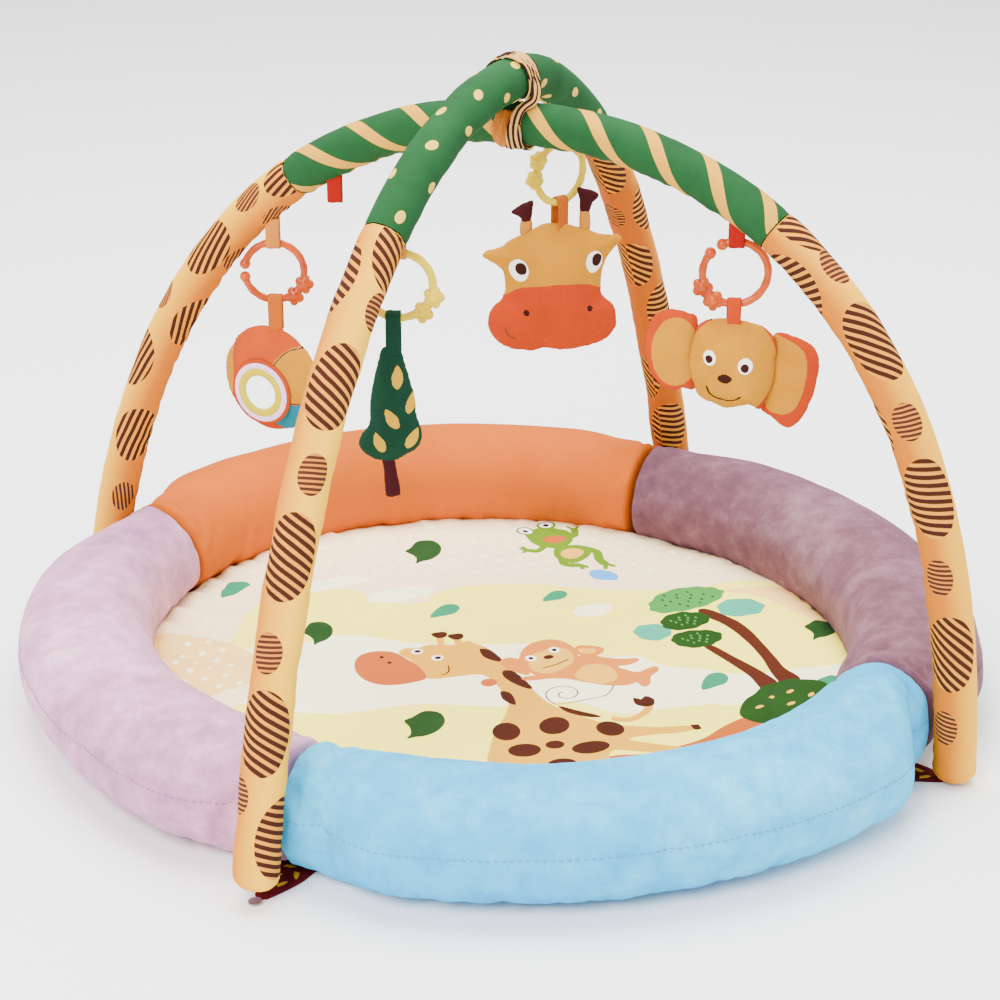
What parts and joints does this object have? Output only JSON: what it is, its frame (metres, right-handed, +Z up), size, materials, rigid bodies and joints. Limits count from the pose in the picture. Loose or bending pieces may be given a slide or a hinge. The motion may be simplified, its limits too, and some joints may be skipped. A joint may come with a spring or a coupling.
{
  "type": "activity play gym",
  "caption": "Padded round baby mat inside a bolster ring, with two crossed padded arches and stuffed toys hanging on clip rings",
  "frame": {"origin": "centre of the base cloth on the floor", "axes": "+Z up, front towards -Y, +X to the right"},
  "size_m": [0.9, 0.9, 0.611],
  "materials": {
    "bolster_front": "soft",
    "bolster_right": "soft",
    "bolster_back": "soft",
    "bolster_left": "soft",
    "bolster_filling": "soft",
    "base_cloth": "soft",
    "mat_padding": "soft",
    "mat_print": "soft",
    "foot_tabs": "soft",
    "tab_snaps": "satin",
    "lower_pole_right": "matt",
    "lower_pole_left": "matt",
    "lower_ferrule": "satin",
    "lower_pole_tips": "matt",
    "lower_padding": "soft",
    "lower_sleeve_right": "soft",
    "lower_sleeve_crown": "soft",
    "lower_sleeve_left": "soft",
    "lower_hang_loops": "soft",
    "lower_spare_loop": "soft",
    "lower_tie": "soft",
    "upper_pole_front": "matt",
    "upper_pole_back": "matt",
    "upper_ferrule": "satin",
    "upper_pole_tips": "matt",
    "upper_padding": "soft",
    "upper_sleeve_front": "soft",
    "upper_sleeve_crown": "soft",
    "upper_sleeve_back": "soft",
    "upper_hang_loops": "soft",
    "upper_tie": "soft",
    "ball_clip": "glossy",
    "ball_tape": "soft",
    "ball_toy": "soft",
    "ball_mirror_frame": "soft",
    "ball_mirror": "polished",
    "tree_clip": "glossy",
    "tree_tape": "soft",
    "tree_toy": "soft",
    "tree_trunk": "soft",
    "giraffe_clip": "glossy",
    "giraffe_tape": "soft",
    "giraffe_toy": "soft",
    "giraffe_horns": "soft",
    "monkey_clip": "glossy",
    "monkey_tape": "soft",
    "monkey_toy": "soft",
    "monkey_ears": "soft"
  },
  "bodies": {
    "base": {"bolster_front": "bolster_front", "bolster_right": "bolster_right", "bolster_back": "bolster_back", "bolster_left": "bolster_left", "bolster_filling": "bolster_filling", "base_cloth": "base_cloth", "mat_padding": "mat_padding", "mat_print": "mat_print", "foot_tabs": "foot_tabs", "tab_snaps": "tab_snaps"},
    "lower_arch": {"lower_pole_right": "lower_pole_right", "lower_pole_left": "lower_pole_left", "lower_ferrule": "lower_ferrule", "lower_pole_tips": "lower_pole_tips", "lower_padding": "lower_padding", "lower_sleeve_right": "lower_sleeve_right", "lower_sleeve_crown": "lower_sleeve_crown", "lower_sleeve_left": "lower_sleeve_left", "lower_hang_loops": "lower_hang_loops", "lower_spare_loop": "lower_spare_loop", "lower_tie": "lower_tie"},
    "upper_arch": {"upper_pole_front": "upper_pole_front", "upper_pole_back": "upper_pole_back", "upper_ferrule": "upper_ferrule", "upper_pole_tips": "upper_pole_tips", "upper_padding": "upper_padding", "upper_sleeve_front": "upper_sleeve_front", "upper_sleeve_crown": "upper_sleeve_crown", "upper_sleeve_back": "upper_sleeve_back", "upper_hang_loops": "upper_hang_loops", "upper_tie": "upper_tie"},
    "ball_ring": {"ball_clip": "ball_clip"},
    "ball_hanging": {"ball_tape": "ball_tape", "ball_toy": "ball_toy", "ball_mirror_frame": "ball_mirror_frame", "ball_mirror": "ball_mirror"},
    "tree_ring": {"tree_clip": "tree_clip"},
    "tree_hanging": {"tree_tape": "tree_tape", "tree_toy": "tree_toy", "tree_trunk": "tree_trunk"},
    "giraffe_ring": {"giraffe_clip": "giraffe_clip"},
    "giraffe_hanging": {"giraffe_tape": "giraffe_tape", "giraffe_toy": "giraffe_toy", "giraffe_horns": "giraffe_horns"},
    "monkey_ring": {"monkey_clip": "monkey_clip"},
    "monkey_hanging": {"monkey_tape": "monkey_tape", "monkey_toy": "monkey_toy", "monkey_ears": "monkey_ears"}
  },
  "joints": [
    {"name": "arch_lift", "type": "slide", "parent": "base", "child": "lower_arch", "axis": [0, 0, 1], "range_m": [0, 0.2]},
    {"name": "arch_scissor", "type": "hinge", "parent": "lower_arch", "child": "upper_arch", "pos_m": [0.021, 0.009, 0.568], "axis": [0, 0, 1], "range_deg": [-2, 2]},
    {"name": "ball_ring_swing", "type": "hinge", "parent": "lower_arch", "child": "ball_ring", "pos_m": [-0.16517, 0.17704, 0.40394], "axis": [0.9455, -0.3256, 0], "range_deg": [-45, 25]},
    {"name": "ball_swing", "type": "hinge", "parent": "ball_ring", "child": "ball_hanging", "pos_m": [-0.16517, 0.17704, 0.34694], "axis": [0.9455, -0.3256, 0], "range_deg": [-40, 40]},
    {"name": "tree_ring_swing", "type": "hinge", "parent": "upper_arch", "child": "tree_ring", "pos_m": [-0.1339, -0.13964, 0.48781], "axis": [0.9455, -0.3256, 0], "range_deg": [-45, 45]},
    {"name": "tree_swing", "type": "hinge", "parent": "tree_ring", "child": "tree_hanging", "pos_m": [-0.1339, -0.13964, 0.43081], "axis": [0.9455, -0.3256, 0], "range_deg": [-40, 40]},
    {"name": "giraffe_ring_swing", "type": "hinge", "parent": "upper_arch", "child": "giraffe_ring", "pos_m": [0.08806, 0.07944, 0.50458], "axis": [0.9336, 0.3584, 0], "range_deg": [-45, 45]},
    {"name": "giraffe_swing", "type": "hinge", "parent": "giraffe_ring", "child": "giraffe_hanging", "pos_m": [0.08806, 0.07944, 0.44758], "axis": [0.9336, 0.3584, 0], "range_deg": [-20, 40]},
    {"name": "monkey_ring_swing", "type": "hinge", "parent": "lower_arch", "child": "monkey_ring", "pos_m": [0.16702, -0.15112, 0.47033], "axis": [0.9455, -0.3256, 0], "range_deg": [-45, 45]},
    {"name": "monkey_swing", "type": "hinge", "parent": "monkey_ring", "child": "monkey_hanging", "pos_m": [0.16702, -0.15112, 0.41333], "axis": [0.9455, -0.3256, 0], "range_deg": [-40, 40]}
  ]
}
